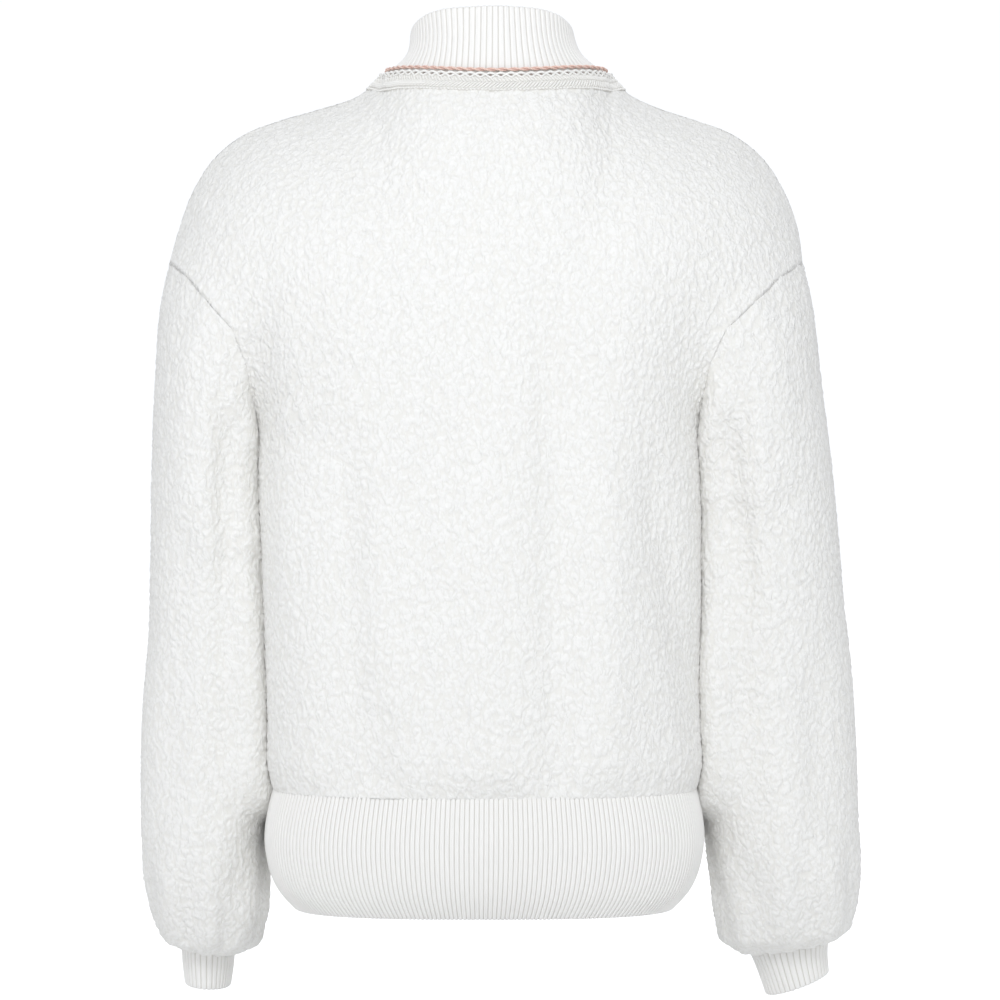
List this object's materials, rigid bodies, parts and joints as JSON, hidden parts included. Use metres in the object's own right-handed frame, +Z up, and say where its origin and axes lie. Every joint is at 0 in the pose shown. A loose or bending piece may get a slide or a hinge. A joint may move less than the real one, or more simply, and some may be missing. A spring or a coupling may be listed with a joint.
{
  "type": "fleece jacket",
  "caption": "Fleece jacket with a full-length zip, full sleeves, a ribbed stand collar, cuffs and hem, and a knit tape and cord at the neck, filled out as if worn.",
  "frame": {"origin": "middle of the neck seam, in the middle of the neck opening, where the wearer carries the jacket", "axes": "+Z up, the front faces -Y, the wearer's left is +X"},
  "size_m": [0.5469, 0.2387, 0.7412],
  "materials": {
    "fleece": "off-white curly pile fleece",
    "rib": "off-white rib knit",
    "tape": "white braided knit",
    "cord": "twisted, rose",
    "zip_tape": "woven, off-white",
    "metal": "satin"
  },
  "bodies": {
    "garment": {"back": "fleece", "front_left": "fleece", "front_right": "fleece", "sleeve_left": "fleece", "sleeve_right": "fleece", "cuff_left": "rib", "cuff_right": "rib", "hem_rib": "rib", "collar_rib": "rib", "neck_tape": "tape", "neck_cord": "cord", "zip_half_left": "zip_tape", "zip_half_right": "zip_tape", "zip_box": "metal", "zip_slider": "metal"},
    "pull": {"zip_pull": "metal"}
  },
  "joints": [
    {"name": "pull_swing", "type": "hinge", "parent": "garment", "child": "pull", "pos_m": [0, -0.08987, -0.03415], "axis": [-1, 0, 0], "range_deg": [0, 150]}
  ]
}
